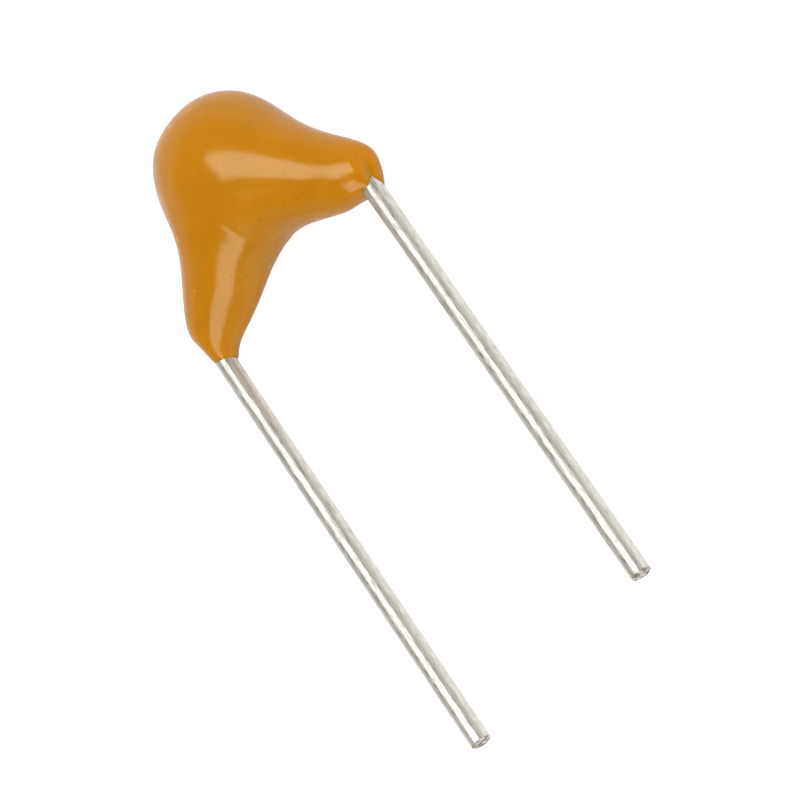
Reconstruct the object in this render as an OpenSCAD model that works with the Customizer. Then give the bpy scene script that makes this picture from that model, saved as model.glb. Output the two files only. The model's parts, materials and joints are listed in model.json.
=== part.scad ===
// Radial multilayer ceramic capacitor: a ceramic chip soldered between two tinned wires, under one dipped
// coating of epoxy that runs down the spread wires as two short legs.
// The part lies as it comes to rest, on the belly of its coating and the tips of both leads.
// Every piece is drawn before it is laid down: x runs across the leads, y from the tips towards the crown,
// z out of the plane of the leads, and zero lies midway between the leads where the coating ends.

/* [Leads] */
// Distance between the axes of the two leads
lead_pitch = 5.08; // [4.8:0.02:5.4]
// Diameter of the tinned wire
wire_d = 0.43; // [0.35:0.01:0.5]
// Length of bare lead below the coating
lead_length = 9.9; // [3:0.1:25]
// Radius of each bend in the wire, measured to its axis
bend_r = 1.1; // [0.4:0.05:1.2]
// Height above the end of the coating where the lead turns inwards
knee_rise = 0.6; // [0.5:0.02:0.8]
// How far the wire runs past the middle of the chip
wire_reach = 0.55; // [0.5:0.05:0.7]

/* [Chip] */
// Length of the ceramic block from end to end
chip_length = 2; // [1.6:0.05:2.2]
// Width of the ceramic block along the leads
chip_width = 1.25; // [1:0.05:1.4]
// Thickness of the ceramic block
chip_thickness = 0.95; // [0.6:0.05:1.1]
// Height of the chip's middle above the end of the coating
chip_rise = 2.65; // [2.5:0.05:2.9]
// Length of the block that each metal cap wraps
cap_length = 0.4; // [0.2:0.05:0.6]
// Thickness of the metal caps
cap_wall = 0.04; // [0.02:0.01:0.06]

/* [Electrodes] */
// Number of metal layers that reach each end of the block
layer_count = 5; // [2:1:8]
// Thickness of one metal layer
layer_t = 0.02; // [0.01:0.005:0.03]
// Ceramic left above the top layer and below the bottom one
cover_t = 0.15; // [0.1:0.01:0.2]
// Gap between the tip of a layer and the opposite end of the block
end_gap = 0.25; // [0.15:0.05:0.4]
// Gap between the edge of a layer and the side of the block
side_gap = 0.2; // [0.1:0.05:0.3]

/* [Solder] */
// Length of the solder fillet along the wire
solder_length = 0.9; // [0.6:0.05:0.95]
// Height of the fillet where it wets the cap
solder_foot = 0.75; // [0.5:0.05:0.9]
// Solder between the wire and the cap
solder_gap = 0.04; // [0.02:0.01:0.06]
// Solder over the outside of the wire
solder_film = 0.05; // [0.03:0.01:0.08]

/* [Coating on the chip] */
// Coating beside the wires, at the sides of the crown
crown_side_cover = 0.18; // [0.16:0.02:0.6]
// Coating above the chip, at the top of the crown
crown_top_cover = 1.12; // [0.8:0.02:1.5]
// Coating over each flat face of the chip
crown_face_cover = 0.76; // [0.7:0.02:1.2]
// Height of the crotch between the legs above the end of the coating
crotch_rise = 0.8; // [0.6:0.02:1]
// Radius of the arch of the crotch
crotch_r = 1.7; // [1.4:0.05:2]

/* [Coating on the legs] */
// Coating outside the slanting wire, halfway down a leg
leg_outer_cover = 0.37; // [0.3:0.01:0.6]
// Coating inside the slanting wire, halfway down a leg
leg_inner_cover = 0.91; // [0.7:0.01:1.1]
// Coating in front of and behind the slanting wire, halfway down a leg
leg_face_cover = 0.43; // [0.3:0.01:0.6]
// Coating outside the bend at the knee
knee_outer_cover = 0.33; // [0.25:0.01:0.45]
// Coating inside the bend at the knee
knee_inner_cover = 0.85; // [0.6:0.05:1]
// Coating in front of and behind the bend at the knee
knee_face_cover = 0.33; // [0.2:0.01:0.4]
// Height of the collar above the end of the coating
collar_rise = 0.26; // [0.2:0.02:0.34]
// Coating outside the left lead at the collar
left_collar_outer_cover = 0.11; // [0.08:0.01:0.2]
// Coating outside the right lead at the collar
right_collar_outer_cover = 0.26; // [0.15:0.01:0.3]
// Coating inside the left lead at the collar
left_collar_inner_cover = 0.32; // [0.2:0.02:0.4]
// Coating inside the right lead at the collar
right_collar_inner_cover = 0.5; // [0.35:0.01:0.55]
// Coating in front of and behind the lead at the collar
collar_face_cover = 0.18; // [0.08:0.01:0.2]
// Film of coating on the lead where the coating ends
lip_film = 0.03; // [0.02:0.005:0.06]
// How far the front of the coating ends short on the left lead
left_lip_slant = 0.03; // [0:0.01:0.2]
// How far the front of the coating ends short on the right lead
right_lip_slant = 0.14; // [0:0.01:0.2]
// Angle by which the outside of the coating ends short on the left lead
left_lip_turn = 10; // [-10:1:20]
// Angle by which the outside of the coating ends short on the right lead
right_lip_turn = -6; // [-10:1:20]

/* [Hidden] */

// Rings along the coating and points round each ring
ring_count = 73;
ring_points = 40;
// Facets of the round wires
$fn = 48;

// Route of the right wire: up the lead, slanting in from the knee, then upright beside the chip
slant_angle = 45;
wire_r = wire_d / 2;
lead_x = lead_pitch / 2;
cap_x = chip_length / 2 + cap_wall;
wire_x = cap_x + solder_gap + wire_r;
knee_at = [lead_x, knee_rise];
foot_at = [wire_x, knee_rise + (lead_x - wire_x) / tan(slant_angle)];
bend_run = bend_r * tan(slant_angle / 2);
lower_length = lead_length + knee_rise - bend_run;
slant_length = norm(foot_at - knee_at) - 2 * bend_run;
upper_length = chip_rise + wire_reach - foot_at.y - bend_run;

// Layers of the electrodes, counted up from the bottom, which reach the right and left ends by turns
layer_pitch = (chip_thickness - 2 * cover_t - layer_t) / (2 * layer_count - 1);
layer_length = chip_length - end_gap;
layer_width = chip_width - 2 * side_gap;

// The crown is an arc round the chip, and the crotch is an arc below it: stations from the side to the top
crown_angles = [0, 30, 60, 90];
crotch_angles = [56, 69, 80, 90];
// Half thickness at each station, as a share of the crown's
crown_thickness_shares = [0.7, 0.8, 0.98, 1];
// How far the thickest line lies outwards, as a share of the half width
crown_crest_shares = [0.05, -0.04, 0.09, 0.07];
// A curve pulled by controls on an arc lies inside the arc by this share
arc_pull_share = (2 + cos(crown_angles[1])) / 3;
crown_half_w = wire_x + wire_r + crown_side_cover;
crown_half_h = chip_width / 2 + crown_top_cover;
crown_half_t = chip_thickness / 2 + crown_face_cover;
// Angle of the ring at the collar, and place of the middle of a leg along the slanting wire
collar_turn = 16;
leg_place_share = 0.5;

// A station holds the outer and the inner point of the outline, the half thickness, the slant of the ring
// from back to front and the place of its thickest line
function station(outer, inner, half_t, slant = 0, crest = 0) =
    [outer.x, outer.y, inner.x, inner.y, half_t, slant, crest];
function facing(angle) = [cos(angle), sin(angle)];
function wire_station(at, angle, outer_cover, inner_cover, face_cover, slant = 0) =
    station(at + facing(angle) * (wire_r + outer_cover), at - facing(angle) * (wire_r + inner_cover),
            wire_r + face_cover, slant);
function crown_station(i) =
    station([crown_half_w * cos(crown_angles[i]), crown_half_h * sin(crown_angles[i])] / arc_pull_share
            + [0, chip_rise],
            crotch_r * facing(crotch_angles[i]) + [0, crotch_rise - crotch_r],
            crown_half_t * crown_thickness_shares[i], 0, crown_crest_shares[i]);

// Stations from the end of the coating on the right lead up to the top of the crown
function half_stations(collar_outer_cover, collar_inner_cover, lip_turn, lip_slant) = [
    wire_station([lead_x, 0], lip_turn, lip_film, lip_film, lip_film, lip_slant),
    wire_station([lead_x, collar_rise], collar_turn,
                 collar_outer_cover, collar_inner_cover, collar_face_cover),
    wire_station(knee_at, slant_angle / 2, knee_outer_cover, knee_inner_cover, knee_face_cover),
    wire_station(knee_at + leg_place_share * (foot_at - knee_at), slant_angle,
                 leg_outer_cover, leg_inner_cover, leg_face_cover),
    for (i = [0 : len(crown_angles) - 1]) crown_station(i)
];
function mirrored(s) = [-s[0], s[1], -s[2], s[3], s[4], s[5], s[6]];
left_half = [
    for (s = half_stations(left_collar_outer_cover, left_collar_inner_cover, left_lip_turn, left_lip_slant))
        mirrored(s)
];
right_half = half_stations(right_collar_outer_cover, right_collar_inner_cover,
                           right_lip_turn, right_lip_slant);
stations = concat(left_half, [for (i = [len(right_half) - 2 : -1 : 0]) right_half[i]]);
last = len(stations) - 1;
controls = concat([2 * stations[0] - stations[1]], stations, [2 * stations[last] - stations[last - 1]]);

// Smooth curve along the stations, pulled by four neighbouring controls at a time
function pulled(a, b, c, d, t) =
    (a * pow(1 - t, 3) + b * (3 * pow(t, 3) - 6 * pow(t, 2) + 4)
     + c * (3 * t + 3 * pow(t, 2) - 3 * pow(t, 3) + 1) + d * pow(t, 3)) / 6;
function along(u) =
    let (k = min(floor(u), last - 1))
    pulled(controls[k], controls[k + 1], controls[k + 2], controls[k + 3], u - k);

// One ring of the coating: an egg from the outer to the inner point of the outline
function ring(s) =
    let (outer = [s[0], s[1]], inner = [s[2], s[3]])
    let (middle = (outer + inner) / 2, half = (outer - inner) / 2)
    [for (j = [0 : ring_points - 1])
        let (a = 360 * j / ring_points, p = middle + half * (cos(a) + s[6] * pow(sin(a), 2)))
        [p.x, p.y + s[5] * sin(a), s[4] * sin(a)]];
rings = [for (i = [0 : ring_count - 1]) ring(along(last * i / (ring_count - 1)))];
skin = [for (r = rings) each r];
function middle_of(points) = [for (p = points) 1] * points / len(points);

// Rest: the belly and the tips of the leads touch the same surface, with zero on it below the middle
belly = min([for (p = skin) p.z]);
belly_y = [for (p = skin) if (p.z == belly) p.y][0];
lay_angle = atan2(-belly - wire_r, belly_y + lead_length);
function laid_y(p) = p.y * cos(lay_angle) - p.z * sin(lay_angle);
function laid_z(p) = p.y * sin(lay_angle) + p.z * cos(lay_angle);
tip_back = laid_y([0, -lead_length, wire_r]);
tip_bottom = laid_z([0, -lead_length, -wire_r]);
lay_lift = -min(tip_bottom, min([for (p = skin) laid_z(p)]));
lay_shift = -(tip_back + max([for (p = skin) laid_y(p)])) / 2;
lay_aside = -(min([for (p = skin) p.x]) + max([for (p = skin) p.x])) / 2;

module lay() {
    translate([lay_aside, lay_shift, lay_lift])
        rotate([lay_angle, 0, 0])
            children();
}

module on_side(side) {
    if (side == "left") mirror([1, 0, 0]) children();
    else children();
}

// Straight run of wire, upwards from where it starts
module wire_run(length) {
    rotate([-90, 0, 0])
        cylinder(h = length, d = wire_d);
}

// Bend of the wire to the left, with whatever follows the bend
module wire_bend() {
    translate([-bend_r, 0, 0]) {
        rotate_extrude(angle = slant_angle)
            translate([bend_r, 0])
                circle(d = wire_d);
        rotate([0, 0, slant_angle])
            translate([bend_r, 0, 0])
                children();
    }
}

// Right wire as one bent piece, from its tip upwards
module wire_form() {
    translate([lead_x, -lead_length, 0]) {
        wire_run(lower_length);
        translate([0, lower_length, 0])
            wire_bend() {
                wire_run(slant_length);
                translate([0, slant_length, 0])
                    mirror([1, 0, 0])
                        wire_bend()
                            wire_run(upper_length);
            }
    }
}

// Outer form of the right solder fillet, wire and all
module solder_form() {
    round_r = wire_r + solder_film;
    // The flanks of the fillet meet its rounded outside at this share of the radius
    flank_share = 0.8;
    translate([0, chip_rise, 0])
        rotate([90, 0, 0])
            linear_extrude(height = solder_length, center = true)
                union() {
                    translate([wire_x, 0])
                        circle(r = round_r);
                    polygon([[cap_x, -solder_foot / 2], [wire_x, -round_r * flank_share],
                             [wire_x, round_r * flank_share], [cap_x, solder_foot / 2]]);
                }
}

// Outer form of the ceramic block
module block_form() {
    translate([0, chip_rise, 0])
        cube([chip_length, chip_width, chip_thickness], center = true);
}

// Outer form of the right cap, block and all
module cap_form() {
    size = [cap_length + cap_wall, chip_width + 2 * cap_wall, chip_thickness + 2 * cap_wall];
    translate([cap_x - size.x / 2, chip_rise, 0])
        cube(size, center = true);
}

// Every other layer, from the one that first counts: 0 reaches the right end, 1 the left
module layers(first) {
    away = first == 0 ? end_gap : 0;
    lowest = cover_t - chip_thickness / 2;
    for (k = [first : 2 : 2 * layer_count - 1])
        translate([away - chip_length / 2, chip_rise - layer_width / 2, lowest + k * layer_pitch])
            cube([layer_length, layer_width, layer_t]);
}

// Outer form of the coating, chip and all
module skin_form() {
    ends = [middle_of(rings[0]), middle_of(rings[ring_count - 1])];
    first_end = len(skin);
    last_row = (ring_count - 1) * ring_points;
    walls = [for (i = [0 : ring_count - 2], j = [0 : ring_points - 1])
        let (a = i * ring_points + j, b = i * ring_points + (j + 1) % ring_points)
        each [[a, b + ring_points, b], [a, a + ring_points, b + ring_points]]];
    first_lid = [for (j = [0 : ring_points - 1]) [first_end, j, (j + 1) % ring_points]];
    last_lid = [for (j = [0 : ring_points - 1])
        [first_end + 1, last_row + (j + 1) % ring_points, last_row + j]];
    polyhedron(concat(skin, ends), concat(walls, first_lid, last_lid));
}

module coating() {
    color("darkorange")
        lay()
            difference() {
                skin_form();
                block_form();
                for (side = ["left", "right"])
                    on_side(side) {
                        cap_form();
                        solder_form();
                        wire_form();
                    }
            }
}

module ceramic_block() {
    color("tan")
        lay()
            difference() {
                block_form();
                layers(0);
                layers(1);
            }
}

module electrodes(first) {
    color("slategray")
        lay()
            layers(first);
}

module cap(side) {
    color("silver")
        lay()
            on_side(side)
                difference() {
                    cap_form();
                    block_form();
                }
}

module solder(side) {
    color("gray")
        lay()
            on_side(side)
                difference() {
                    solder_form();
                    cap_form();
                    wire_form();
                }
}

module lead(side) {
    color("lightgray")
        lay()
            on_side(side)
                wire_form();
}

coating();
ceramic_block();
electrodes(1);  // left_electrodes
electrodes(0);  // right_electrodes
cap("left");  // left_cap
cap("right");  // right_cap
solder("left");  // left_solder
solder("right");  // right_solder
lead("left");  // left_lead
lead("right");  // right_lead
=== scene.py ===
import json
import math

import bmesh
import bpy
from mathutils import Matrix, Vector


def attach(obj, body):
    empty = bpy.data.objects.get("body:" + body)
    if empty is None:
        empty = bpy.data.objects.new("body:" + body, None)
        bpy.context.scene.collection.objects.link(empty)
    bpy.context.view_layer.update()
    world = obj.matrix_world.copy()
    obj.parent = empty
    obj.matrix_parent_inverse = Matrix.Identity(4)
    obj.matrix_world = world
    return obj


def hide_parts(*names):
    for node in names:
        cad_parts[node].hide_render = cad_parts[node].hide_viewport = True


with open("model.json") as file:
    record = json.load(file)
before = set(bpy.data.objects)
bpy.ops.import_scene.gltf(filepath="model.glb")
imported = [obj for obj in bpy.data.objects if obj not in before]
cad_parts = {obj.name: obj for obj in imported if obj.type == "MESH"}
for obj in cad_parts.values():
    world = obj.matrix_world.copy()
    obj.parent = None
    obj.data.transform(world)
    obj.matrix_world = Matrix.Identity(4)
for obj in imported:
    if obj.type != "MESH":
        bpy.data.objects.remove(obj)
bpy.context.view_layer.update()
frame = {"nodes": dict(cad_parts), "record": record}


# Ceramic block
# The dielectric of the chip: many thin sheets of barium titanate, pressed and fired into one small brick.
# It sits in the middle of the coating, and its colour clouds a little from the kiln.
MM = 0.001


class Shade:
    """A socket in a material's node tree. Arithmetic on it adds Math nodes, and node() adds any other."""

    def __init__(self, tree, socket=None):
        self.tree = tree
        self.socket = socket

    def node(self, kind, settings=(), inputs=(), output=0):
        """Adds a node, gives it its settings and then its inputs, and returns one of its outputs."""
        made = self.tree.nodes.new(kind)
        for name, value in dict(settings).items():
            setattr(made, name, value)
        for name, value in dict(inputs).items():
            if isinstance(value, Shade):
                self.tree.links.new(value.socket, made.inputs[name])
            else:
                made.inputs[name].default_value = value
        return Shade(self.tree, made.outputs[output]) if made.outputs else None

    def math(self, operation, *terms):
        return self.node("ShaderNodeMath", {"operation": operation}, dict(enumerate(terms)))

    def __add__(self, other):
        return self.math("ADD", self, other)

    def __radd__(self, other):
        return self.math("ADD", other, self)

    def __sub__(self, other):
        return self.math("SUBTRACT", self, other)

    def __rsub__(self, other):
        return self.math("SUBTRACT", other, self)

    def __mul__(self, other):
        return self.math("MULTIPLY", self, other)

    def __rmul__(self, other):
        return self.math("MULTIPLY", other, self)

    def __lt__(self, other):
        return self.math("LESS_THAN", self, other)

    def __gt__(self, other):
        return self.math("GREATER_THAN", self, other)


def new_finish(name):
    """A material with an empty node tree, and the Shade that fills it."""
    material = bpy.data.materials.new(name)
    material.use_nodes = True
    material.node_tree.nodes.clear()
    return material, Shade(material.node_tree)


def cloud(shade, place, grain, detail=3.0):
    """Noise from 0 to 1 whose lumps are about one grain across."""
    inputs = {"Vector": place, "Scale": 1 / grain, "Detail": detail}
    return shade.node("ShaderNodeTexNoise", inputs=inputs, output="Fac")


def mixed(shade, share, colour, other):
    """One colour giving way to the other as the share goes from 0 to 1."""
    return shade.node("ShaderNodeMix", {"data_type": "RGBA"}, {0: share, 6: colour, 7: other}, output=2)


def surface(shade, sockets):
    """Ends a material in one Principled surface with these sockets."""
    bsdf = shade.node("ShaderNodeBsdfPrincipled", inputs=sockets)
    shade.node("ShaderNodeOutputMaterial", inputs={"Surface": bsdf})


def dress(node_name, material):
    """Gives a CAD node its finish."""
    slots = frame["nodes"][node_name].data.materials
    slots.clear()
    slots.append(material)


fired_ceramic, shade = new_finish("fired_ceramic")
place = shade.node("ShaderNodeTexCoord", output="Object")
kiln_cloud = cloud(shade, place, 0.4 * MM)
surface(shade, {
    "Base Color": mixed(shade, kiln_cloud, (0.36, 0.27, 0.19, 1), (0.5, 0.41, 0.31, 1)),
    "Roughness": 0.5 + 0.25 * cloud(shade, place, 0.06 * MM),
})
dress("ceramic_block", fired_ceramic)


# Electrodes
# Thin layers of nickel paste printed on the ceramic sheets, fired with them into dull grey metal.
# Every other layer reaches the same end of the block, where the cap joins them.
fired_nickel, shade = new_finish("fired_nickel")
place = shade.node("ShaderNodeTexCoord", output="Object")
paste_grain = cloud(shade, place, 0.05 * MM)
surface(shade, {
    "Base Color": mixed(shade, paste_grain, (0.3, 0.29, 0.27, 1), (0.42, 0.41, 0.39, 1)),
    "Metallic": 1.0,
    "Roughness": 0.4 + 0.2 * paste_grain,
})
for side in ("left", "right"):
    dress(f"{side}_electrodes", fired_nickel)


# Caps
# Metal paste dipped on each end of the chip, fired, then plated with nickel and tin so that solder wets it.
# The plating is satin, with a fine pebbled grain.
plated_cap, shade = new_finish("plated_cap")
place = shade.node("ShaderNodeTexCoord", output="Object")
pebbles = cloud(shade, place, 0.03 * MM)
surface(shade, {
    "Base Color": mixed(shade, pebbles, (0.52, 0.51, 0.49, 1), (0.68, 0.67, 0.65, 1)),
    "Metallic": 1.0,
    "Roughness": 0.35 + 0.2 * pebbles,
    "Normal": shade.node("ShaderNodeBump", inputs={"Height": pebbles, "Distance": 0.002 * MM}),
})
for side in ("left", "right"):
    dress(f"{side}_cap", plated_cap)


# Solder
# A fillet of solder on each side, which holds the wire to its cap. It ran between the two and set there,
# bright where it froze fast and frosted where it froze slowly.
frosted_solder, shade = new_finish("frosted_solder")
place = shade.node("ShaderNodeTexCoord", output="Object")
frost = cloud(shade, place, 0.12 * MM)
surface(shade, {
    "Base Color": mixed(shade, frost, (0.48, 0.48, 0.49, 1), (0.62, 0.62, 0.63, 1)),
    "Metallic": 1.0,
    "Roughness": 0.25 + 0.35 * frost,
})
for side in ("left", "right"):
    dress(f"{side}_solder", frosted_solder)


# Leads
# Two lengths of tinned wire, drawn through a die and run straight below the coating. Inside it each turns
# inwards at a knee and upright again beside the chip, where it is soldered to its cap. The tips are cut by a
# shear, which bares the core and drags the tin.
left_pin, right_pin = frame["record"]["mounts"]
wire_r = left_pin["dims"]["r_mm"] * MM
bare_length = left_pin["dims"]["length_mm"] * MM
tip_way = Vector(left_pin["axis"])
pin_middles = [Vector(pin["pos_m"]) for pin in (left_pin, right_pin)]
lead_x = (pin_middles[1].x - pin_middles[0].x) / 2
across_way = Vector((1, 0, 0))
front_way = tip_way.cross(across_way)
# The plane of the leads: x across them, y from the tips to the crown, and zero midway where the coating ends
plane = Matrix((across_way, -tip_way, front_way)).transposed().to_4x4()
plane.translation = (pin_middles[0] + pin_middles[1]) / 2 - tip_way * bare_length / 2
lay_angle = math.atan2(-tip_way.z, -tip_way.y)
# Route of the wire inside the coating, in that plane
knee_rise = 0.6 * MM
bend_r = 1.1 * MM
wire_x = 1.295 * MM
wire_top = 3.2 * MM
slant_angle = math.radians(45)
bend_run = bend_r * math.tan(slant_angle / 2)
slant_run = (lead_x - wire_x) / math.sin(slant_angle) - 2 * bend_run
upright = Vector((0, 1, 0))
slanted = Vector((-math.sin(slant_angle), math.cos(slant_angle), 0))
# Small radius that the shear leaves on the rim of a tip, and the fineness of the wire's mesh
rim_r = 0.02 * MM
wire_facets = 48
bend_steps = 8
bare_steps = 12
inner_steps = 2


def drawn_on(bm, loop, way, length, steps):
    """Draws the end loop of a wire on by so much, in equal steps, and returns its new end loop."""
    for _ in range(steps):
        grown = bmesh.ops.extrude_edge_only(bm, edges=loop)["geom"]
        ring = [g for g in grown if isinstance(g, bmesh.types.BMVert)]
        bmesh.ops.translate(bm, verts=ring, vec=way * length / steps)
        loop = [g for g in grown if isinstance(g, bmesh.types.BMEdge)]
    return loop


def loop_middle(loop):
    """The middle of a loop of edges."""
    return sum((v.co for edge in loop for v in edge.verts), Vector()) / (2 * len(loop))


def bent_on(bm, loop, way, turn):
    """Bends the end loop of a wire, left for a turn of 1 and right for -1, and returns its new end loop."""
    centre = loop_middle(loop) + turn * bend_r * Vector((-way.y, way.x, 0))
    swept = bmesh.ops.spin(
        bm, geom=loop, cent=centre, axis=(0, 0, 1), angle=turn * slant_angle, steps=bend_steps)
    return [g for g in swept["geom_last"] if isinstance(g, bmesh.types.BMEdge)]


def piece(name, bm, *materials):
    """Turns a finished bmesh into an object of the scene with these materials."""
    mesh = bpy.data.meshes.new(name)
    bm.to_mesh(mesh)
    bm.free()
    mesh.shade_smooth()
    for material in materials:
        mesh.materials.append(material)
    made = bpy.data.objects.new(name, mesh)
    bpy.context.scene.collection.objects.link(made)
    return made


def between(shade, value, low, high, top=1.0):
    """How far a value has come from low to high, as a share that goes from 0 up to top."""
    inputs = {"Value": value, "From Min": low, "From Max": high, "To Max": top}
    return shade.node("ShaderNodeMapRange", inputs=inputs)


# Tin: a plating that is burnished in flecks and matt between them, with ripples and a few dark lines
# along the wire, most of them near the coating
tin, shade = new_finish("tinned_wire")
place = shade.node("ShaderNodeTexCoord", output="Object")
streaked, rippled, flecked = [
    shade.node("ShaderNodeMapping", {"vector_type": "TEXTURE"},
               {"Vector": place, "Rotation": (lay_angle, 0, 0), "Scale": (1, stretch, 1)})
    for stretch in (14, 7, 5)
]
streaks = cloud(shade, streaked, 0.05 * MM, 4.0)
flecks = between(shade, cloud(shade, flecked, 0.04 * MM), 0.36, 0.62)
ripples = cloud(shade, rippled, 0.11 * MM, 2.0)
along = shade.node("ShaderNodeSeparateXYZ", inputs={0: place}, output="Y")
# Within this reach of the coating the wire darkens in more lines
dark_lines_reach = 1.2 * MM
by_coating = between(shade, along, plane.translation.y - dark_lines_reach, plane.translation.y, 0.1)
# Dark lines: the drawn streaks darken where they are strongest, and more of them darken towards the coating
dark_lines = between(shade, streaks + by_coating, 0.6, 0.7, 0.7)
bright_tin = mixed(shade, 0.5 * streaks + 0.5 * flecks, (0.76, 0.725, 0.65, 1), (0.98, 0.945, 0.865, 1))
surface(shade, {
    "Base Color": mixed(shade, dark_lines, bright_tin, (0.4, 0.38, 0.36, 1)),
    "Metallic": 1.0,
    "Roughness": 0.62 - 0.34 * flecks,
    "Normal": shade.node(
        "ShaderNodeBump", inputs={"Height": ripples + 0.05 * flecks, "Distance": 0.014 * MM}),
})

# Cut ends: the core's brownish metal, torn by the shear and smeared with tin
cut_metal, shade = new_finish("cut_metal")
place = shade.node("ShaderNodeTexCoord", output="Object")
torn = cloud(shade, place, 0.09 * MM, 4.0)
smeared = between(shade, torn, 0.4, 0.6)
surface(shade, {
    "Base Color": mixed(shade, smeared, (0.26, 0.2, 0.155, 1), (0.88, 0.85, 0.79, 1)),
    "Metallic": 0.9,
    "Roughness": 0.3 + 0.3 * cloud(shade, place, 0.03 * MM),
    "Normal": shade.node("ShaderNodeBump", inputs={"Height": torn, "Distance": 0.06 * MM}),
})

for side, sign in (("left", -1), ("right", 1)):
    bm = bmesh.new()
    ring = bmesh.ops.create_circle(bm, segments=wire_facets, radius=wire_r, cap_ends=True)["verts"]
    bmesh.ops.rotate(bm, verts=ring, matrix=Matrix.Rotation(math.radians(-90), 3, "X"))
    bmesh.ops.translate(bm, verts=ring, vec=(lead_x, -bare_length, 0))
    cut_face, rim = bm.faces[:], bm.edges[:]
    loop = drawn_on(bm, rim, upright, bare_length + knee_rise - bend_run, bare_steps)
    loop = bent_on(bm, loop, upright, 1)
    loop = drawn_on(bm, loop, slanted, slant_run, inner_steps)
    loop = bent_on(bm, loop, slanted, -1)
    loop = drawn_on(bm, loop, upright, wire_top - loop_middle(loop).y, inner_steps)
    bmesh.ops.contextual_create(bm, geom=loop)
    for face in cut_face:
        face.material_index = 1
    bmesh.ops.bevel(bm, geom=rim, offset=rim_r, segments=3, profile=0.5, affect="EDGES", material=-1)
    bmesh.ops.scale(bm, vec=(sign, 1, 1), verts=bm.verts)
    bmesh.ops.recalc_face_normals(bm, faces=bm.faces)
    bmesh.ops.transform(bm, matrix=plane, verts=bm.verts)
    wire = piece(f"{side}_wire", bm, tin, cut_metal)
    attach(wire, "root")
    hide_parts(f"{side}_lead")


# Coating
# One dip of mustard-orange epoxy over the chip, which ran down the spread wires before it set. It is glossy,
# with a faint orange peel, a little clouding, dark grains, and tiny bubbles near its surface whose glints
# are painted as lighter specks.
def specks(shade, place, spacing, radius):
    """Small round grains: 1 inside a grain and 0 outside, with each grain's size left to chance."""
    cells = {"Vector": place, "Scale": 1 / spacing}
    cell_colour = shade.node("ShaderNodeTexVoronoi", inputs=cells, output="Color")
    chance = shade.node("ShaderNodeSeparateColor", inputs={0: cell_colour})
    return shade.node("ShaderNodeTexVoronoi", inputs=cells, output="Distance") < radius / spacing * chance


epoxy, shade = new_finish("dipped_epoxy")
place = shade.node("ShaderNodeTexCoord", output="Object")
clouding = 0.6 * cloud(shade, place, 0.9 * MM) + 0.4 * cloud(shade, place, 0.14 * MM)
peel = cloud(shade, place, 0.06 * MM, 2.0)
resin = mixed(shade, clouding, (0.475, 0.184, 0.002, 1), (0.61, 0.252, 0.003, 1))
grained = mixed(shade, specks(shade, place, 0.17 * MM, 0.022 * MM), resin, (0.38, 0.135, 0.006, 1))
# Lighter specks: painted glints of tiny bubbles near the surface
bubble_glints = mixed(shade, specks(shade, place, 0.6 * MM, 0.022 * MM), grained, (0.75, 0.42, 0.12, 1))
surface(shade, {
    "Base Color": bubble_glints,
    "Roughness": 0.12 + 0.06 * cloud(shade, place, 0.3 * MM),
    "IOR": 1.5,
    "Specular Tint": (0.87, 1, 0.7, 1),
    "Subsurface Weight": 1.0,
    "Subsurface Radius": (1, 0.5, 0.15),
    "Subsurface Scale": 0.4 * MM,
    "Normal": shade.node("ShaderNodeBump", inputs={"Height": peel, "Distance": 0.001 * MM}),
})

bm = bmesh.new()
bm.from_mesh(frame["nodes"]["coating"].data)
merge_reach = 0.0005 * MM
bmesh.ops.remove_doubles(bm, verts=bm.verts, dist=merge_reach)
bm.normal_update()
# The outer skin is what can be walked to from the crown without crossing the sharp edge at either lip
skin_turn = math.radians(50)
crown = max(bm.faces, key=lambda face: face.calc_center_median().y)
skin, frontier = {crown}, [crown]
while frontier:
    face = frontier.pop()
    for other in {other for edge in face.edges for other in edge.link_faces} - skin:
        if face.normal.angle(other.normal) < skin_turn:
            skin.add(other)
            frontier.append(other)
bmesh.ops.delete(bm, geom=[face for face in bm.faces if face not in skin], context="FACES")
quad_turn = math.radians(60)
bmesh.ops.join_triangles(bm, faces=bm.faces, angle_face_threshold=quad_turn, angle_shape_threshold=quad_turn)
bmesh.ops.transform(bm, matrix=plane.inverted(), verts=bm.verts)
# The resin levelled itself before it set, so the skin is fair everywhere but at the lips. Each smoothing is
# followed by one that swells the skin back to its size, and two plain ones end the fairing.
smoothing, swelling_back, rounds = 0.5, -0.513, 60
fair = [vert for vert in bm.verts if not vert.is_boundary]
for factor in (smoothing, swelling_back) * rounds + (smoothing, smoothing):
    bmesh.ops.smooth_vert(bm, verts=fair, factor=factor, use_axis_x=True, use_axis_y=True, use_axis_z=True)
# On the left it set unevenly: the collar and the waist are leaner there, and the inside of the knee, the
# crotch and the shoulder of the crown are fuller. Each swell has its middle, its reach and how far it stands
# out.
swells = {
    "collar": (Vector((-2.85, 0.5, 0.2)) * MM, 0.4 * MM, -0.11 * MM),
    "knee": (Vector((-1.1, 0.55, -0.4)) * MM, 0.55 * MM, 0.18 * MM),
    "crotch": (Vector((-0.3, 0.8, -0.45)) * MM, 0.5 * MM, 0.08 * MM),
    "waist": (Vector((-1.75, 2.35, 0.52)) * MM, 0.72 * MM, -0.175 * MM),
    "shoulder": (Vector((-0.75, 3.8, 0.7)) * MM, 0.5 * MM, 0.09 * MM),
}
bm.normal_update()
for vert in bm.verts:
    sideways = Vector((vert.normal.x, vert.normal.y, 0))
    vert.co += sideways * sum(
        swell * math.exp(-((vert.co - middle).length / reach) ** 2)
        for middle, reach, swell in swells.values()
    )
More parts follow.
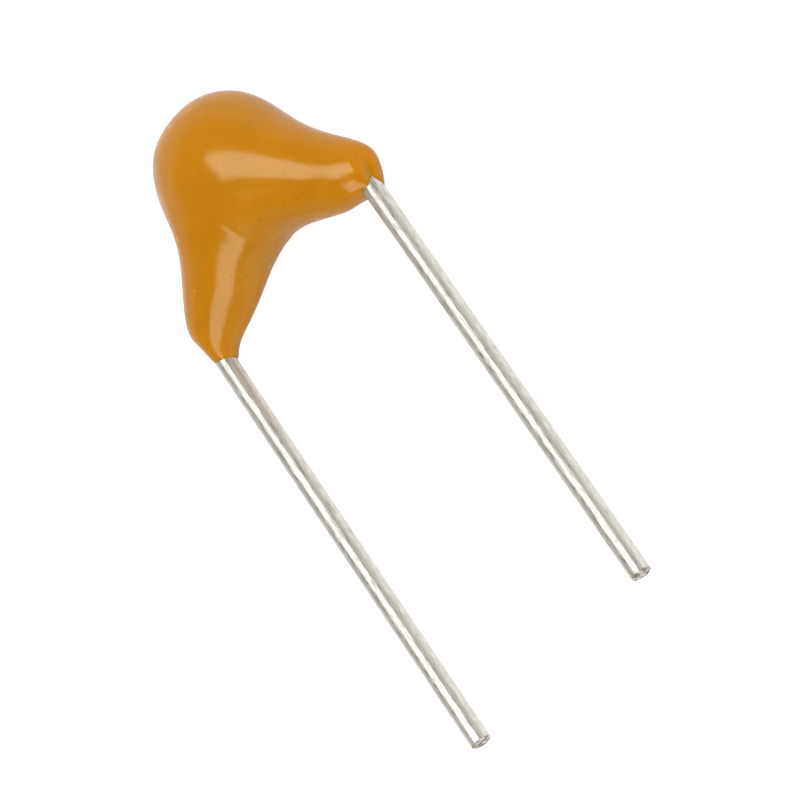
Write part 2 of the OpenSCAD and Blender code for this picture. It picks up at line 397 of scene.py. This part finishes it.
# Both lips ran on down their wires: the left one all round, thinning on its inner side, and the right one in
# front. There the resin then drew back to a film round a notch, which leans to the outside. Turns are in
# degrees about the lead, from its front.
lip_fade = 0.7 * MM
left_run = 0.13 * MM
right_run = 0.2 * MM
right_run_turn = -15
inner_thinning = 0.5
film_r = wire_r + 0.008 * MM
film_fade = 1.1 * MM
notch_depth = 0.17 * MM
notch_turn = 60
notch_inner_turn = 42
notch_outer_turn = 24
for vert in bm.verts:
    fade = min(1, max(0, 1 - vert.co.y / lip_fade)) ** 2
    outward = Vector((vert.co.x - math.copysign(lead_x, vert.co.x), 0, vert.co.z))
    thinning = min(1, max(0, 1 - vert.co.y / film_fade)) ** 2
    to_film = thinning * (film_r - outward.length) * outward.normalized()
    turn = math.degrees(math.atan2(outward.x, outward.z))
    if vert.co.x < 0:
        vert.co += inner_thinning * max(0, math.sin(math.radians(turn))) * to_film
        vert.co.y -= left_run * fade
    else:
        beside = turn - notch_turn
        drawn = max(0, 1 - abs(beside) / (notch_inner_turn if beside < 0 else notch_outer_turn))
        vert.co += drawn * to_film
        vert.co.y += notch_depth * drawn * fade
        vert.co.y -= right_run * max(0, math.cos(math.radians(turn - right_run_turn))) * fade
bmesh.ops.transform(bm, matrix=plane, verts=bm.verts)
crease = bm.edges.layers.float.new("crease_edge")
lips = [edge for edge in bm.edges if edge.is_boundary]
for edge in lips:
    edge[crease] = 1
bmesh.ops.holes_fill(bm, edges=lips)
dip = piece("epoxy_dip", bm, epoxy)
rounded = dip.modifiers.new("rounded", "SUBSURF")
rounded.levels = rounded.render_levels = 2
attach(dip, "root")
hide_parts("coating")


# Floor
# A plain white table top that the part lies on. It glows just enough to be white to the eye and pale in what
# the metal mirrors, and it keeps the soft shadow under the part.
floor_size = 0.8
white_table, shade = new_finish("white_table")
by_eye, by_gloss, by_glass = [
    shade.node("ShaderNodeLightPath", output=f"Is {ray} Ray") for ray in ("Camera", "Glossy", "Transmission")
]
paint = shade.node("ShaderNodeBsdfDiffuse", inputs={"Color": (0.5, 0.5, 0.5, 1)})
glow = shade.node("ShaderNodeEmission",
                  inputs={"Color": (1, 1, 1, 1), "Strength": 0.8 * by_eye + 0.35 * (by_gloss + by_glass)})
both = shade.node("ShaderNodeAddShader", inputs={0: paint, 1: glow})
shade.node("ShaderNodeOutputMaterial", inputs={"Surface": both})
bm = bmesh.new()
bmesh.ops.create_grid(bm, x_segments=1, y_segments=1, size=floor_size / 2)
table = piece("table", bm, white_table)


# Light
# A wide softbox overhead and a tall one in front of the tips make the two highlights. Two weak fills, one on
# the camera's side and one behind the crown, light the resin without being mirrored in it. All round hangs a
# tent that is pale low down and dim above.
body_middle = plane @ Vector((0, 2 * MM, 0))
lamp_distance = 0.3


def aimed(middle, distance, azimuth, elevation, turn):
    """Where a thing stands that faces a middle from this direction, turned about the line between them."""
    azimuth, elevation = math.radians(azimuth), math.radians(elevation)
    away = Vector((math.cos(azimuth), math.sin(azimuth), math.tan(elevation))).normalized()
    level = Vector((-math.sin(azimuth), math.cos(azimuth), 0))
    facing = Matrix((level, away.cross(level), away)).transposed().to_4x4()
    return Matrix.Translation(middle + away * distance) @ facing @ Matrix.Rotation(math.radians(turn), 4, "Z")


def softbox(name, azimuth, elevation, turn, width, height, radiance, mirrored=True):
    """A rectangular lamp that faces the body from this direction, of this brightness to the eye."""
    lamp = bpy.data.lights.new(name, "AREA")
    lamp.shape = "RECTANGLE"
    lamp.size, lamp.size_y = width, height
    lamp.energy = radiance * math.pi * width * height
    box = bpy.data.objects.new(name, lamp)
    box.matrix_world = aimed(body_middle, lamp_distance, azimuth, elevation, turn)
    box.visible_glossy = mirrored
    bpy.context.scene.collection.objects.link(box)


softbox("overhead_box", azimuth=46.5, elevation=81.3, turn=30.8, width=0.24, height=0.143, radiance=3.8)
softbox("front_box", azimuth=-106.4, elevation=44, turn=6.5, width=0.135, height=0.262, radiance=3.1)
softbox("side_fill", azimuth=-30, elevation=20, turn=0, width=0.4, height=0.36, radiance=1.4, mirrored=False)
softbox("crown_fill", azimuth=105, elevation=20, turn=0, width=0.6, height=0.36, radiance=0.9, mirrored=False)

world = bpy.data.worlds.new("tent")
world.use_nodes = True
world.node_tree.nodes.clear()
shade = Shade(world.node_tree)
way = shade.node("ShaderNodeTexCoord", output="Generated")
height, back = [shade.node("ShaderNodeSeparateXYZ", inputs={0: way}, output=axis) for axis in "ZY"]
pale = shade.node("ShaderNodeMapRange", {"interpolation_type": "SMOOTHSTEP"},
                  {"Value": height, "From Min": 0.3, "From Max": 0.7, "To Min": 0.65, "To Max": 0.15})
tent = pale * (0.85 + 0.3 * back)
by_eye = shade.node("ShaderNodeLightPath", output="Is Camera Ray")
cloth = shade.node("ShaderNodeBackground",
                   inputs={"Color": (1, 1, 1, 1), "Strength": by_eye + tent * (1 - by_eye)})
shade.node("ShaderNodeOutputWorld", inputs={"Surface": cloth})
bpy.context.scene.world = world


# Camera
# A long lens some way above the table, looking down past the tips and rolled on its side, as the photograph
# was taken. All of the part is sharp.
camera_target = Vector((0.323, -0.873, 0.8)) * MM
camera_distance = 108.78 * MM
camera = bpy.data.objects.new("camera", bpy.data.cameras.new("camera"))
camera.matrix_world = aimed(camera_target, camera_distance, azimuth=-44.76, elevation=48.45, turn=-85.1)
camera.data.lens = 250.3
camera.data.sensor_width = 36
camera.data.clip_start = 0.01
bpy.context.scene.collection.objects.link(camera)
bpy.context.scene.camera = camera
bpy.context.scene.view_settings.view_transform = "Standard"
